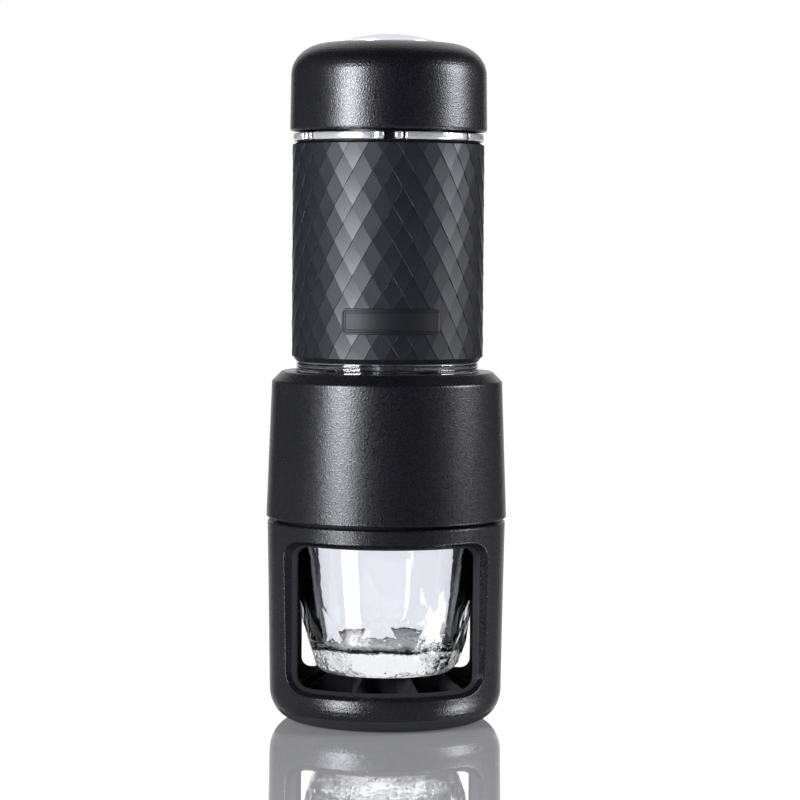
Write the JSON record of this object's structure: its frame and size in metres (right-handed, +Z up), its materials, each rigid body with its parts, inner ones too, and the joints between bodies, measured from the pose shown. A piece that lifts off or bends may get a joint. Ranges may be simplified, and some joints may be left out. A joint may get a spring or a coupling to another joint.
{
  "type": "handheld manual espresso maker",
  "caption": "Cylindrical hand-pumped espresso maker: domed cap and plunger, gripped water tank, flared brewing housing, windowed cup holder and cut glass.",
  "frame": {"origin": "centre of the foot, where the maker stands", "axes": "+Z up along the maker's axis, front window towards -Y"},
  "size_m": [0.072, 0.072, 0.2051],
  "materials": {
    "black_plastic": "spark-textured moulding",
    "smooth_plastic": "satin moulding",
    "grip_silicone": "matte silicone with a diamond pattern",
    "clear_plastic": "clear moulding",
    "cut_glass": "polished pressed glass",
    "stainless_steel": "fine turned",
    "brass": "turned",
    "seal_rubber": "smooth",
    "pale_silicone": "smooth",
    "red_silicone": "smooth",
    "white_nylon": "turned nylon",
    "bright_ring": "polished",
    "bright_medallion": "polished dome"
  },
  "bodies": {
    "holder": {"cup_holder": "black_plastic", "foot_pad": "seal_rubber"},
    "glass": {"glass_cup": "cut_glass"},
    "housing_joint": {"housing_seal": "seal_rubber"},
    "housing": {"housing_shell": "black_plastic", "brew_cup": "smooth_plastic", "brew_cup_seal": "seal_rubber"},
    "basket": {"filter_basket": "stainless_steel"},
    "tank_joint": {"tank_seal": "seal_rubber"},
    "tank": {"water_tank": "clear_plastic", "grip_sleeve": "grip_silicone", "valve_block": "brass", "block_seal": "seal_rubber", "pump_barrel": "stainless_steel", "barrel_seal": "seal_rubber", "ball_retainer": "stainless_steel", "outlet_valve": "pale_silicone", "basket_gasket": "red_silicone", "shower_screen": "stainless_steel", "screen_screw": "stainless_steel"},
    "ball": {"inlet_ball": "stainless_steel"},
    "lid_joint": {"lid_seal": "seal_rubber"},
    "lid": {"tank_lid": "clear_plastic", "lid_ring": "bright_ring", "rod_bush": "white_nylon", "return_spring": "stainless_steel"},
    "plunger": {"plunger_rod": "stainless_steel", "piston": "white_nylon", "piston_seal": "seal_rubber", "rod_nut": "stainless_steel"},
    "cap": {"cap_shell": "black_plastic", "plunger_sleeve": "smooth_plastic", "cap_medallion": "bright_medallion"}
  },
  "joints": [
    {"name": "glass_lift", "type": "slide", "parent": "holder", "child": "glass", "axis": [0, 0, 1], "range_m": [0, 0.046]},
    {"name": "housing_lift", "type": "slide", "parent": "holder", "child": "housing_joint", "axis": [0, 0, 1], "range_m": [0, 0.09]},
    {"name": "housing_turn", "type": "hinge", "parent": "housing_joint", "child": "housing", "pos_m": [0, 0, 0.0641], "axis": [0, 0, 1], "range_deg": [0, 180]},
    {"name": "basket_lift", "type": "slide", "parent": "housing", "child": "basket", "axis": [0, 0, 1], "range_m": [0, 0.036]},
    {"name": "tank_lift", "type": "slide", "parent": "housing", "child": "tank_joint", "axis": [0, 0, 1], "range_m": [0, 0.06]},
    {"name": "tank_turn", "type": "hinge", "parent": "tank_joint", "child": "tank", "pos_m": [0, 0, 0.0975], "axis": [0, 0, 1], "range_deg": [0, 180]},
    {"name": "ball_rise", "type": "slide", "parent": "tank", "child": "ball", "axis": [0, 0, 1], "range_m": [0, 0.0012]},
    {"name": "lid_lift", "type": "slide", "parent": "tank", "child": "lid_joint", "axis": [0, 0, 1], "range_m": [0, 0.06]},
    {"name": "lid_turn", "type": "hinge", "parent": "lid_joint", "child": "lid", "pos_m": [0, 0, 0.1568], "axis": [0, 0, 1], "range_deg": [0, 180]},
    {"name": "pump_stroke", "type": "slide", "parent": "lid", "child": "plunger", "axis": [0, 0, 1], "range_m": [0, 0.021], "deforming": ["return_spring"]},
    {"name": "cap_turn", "type": "hinge", "parent": "plunger", "child": "cap", "pos_m": [0, 0, 0.1918], "axis": [0, 0, 1], "range_deg": [0, 35]}
  ],
  "couplings": [
    {"joint": "glass_lift", "follows": "housing_lift", "ratio": 0.5},
    {"joint": "basket_lift", "follows": "tank_lift", "ratio": 0.58}
  ]
}
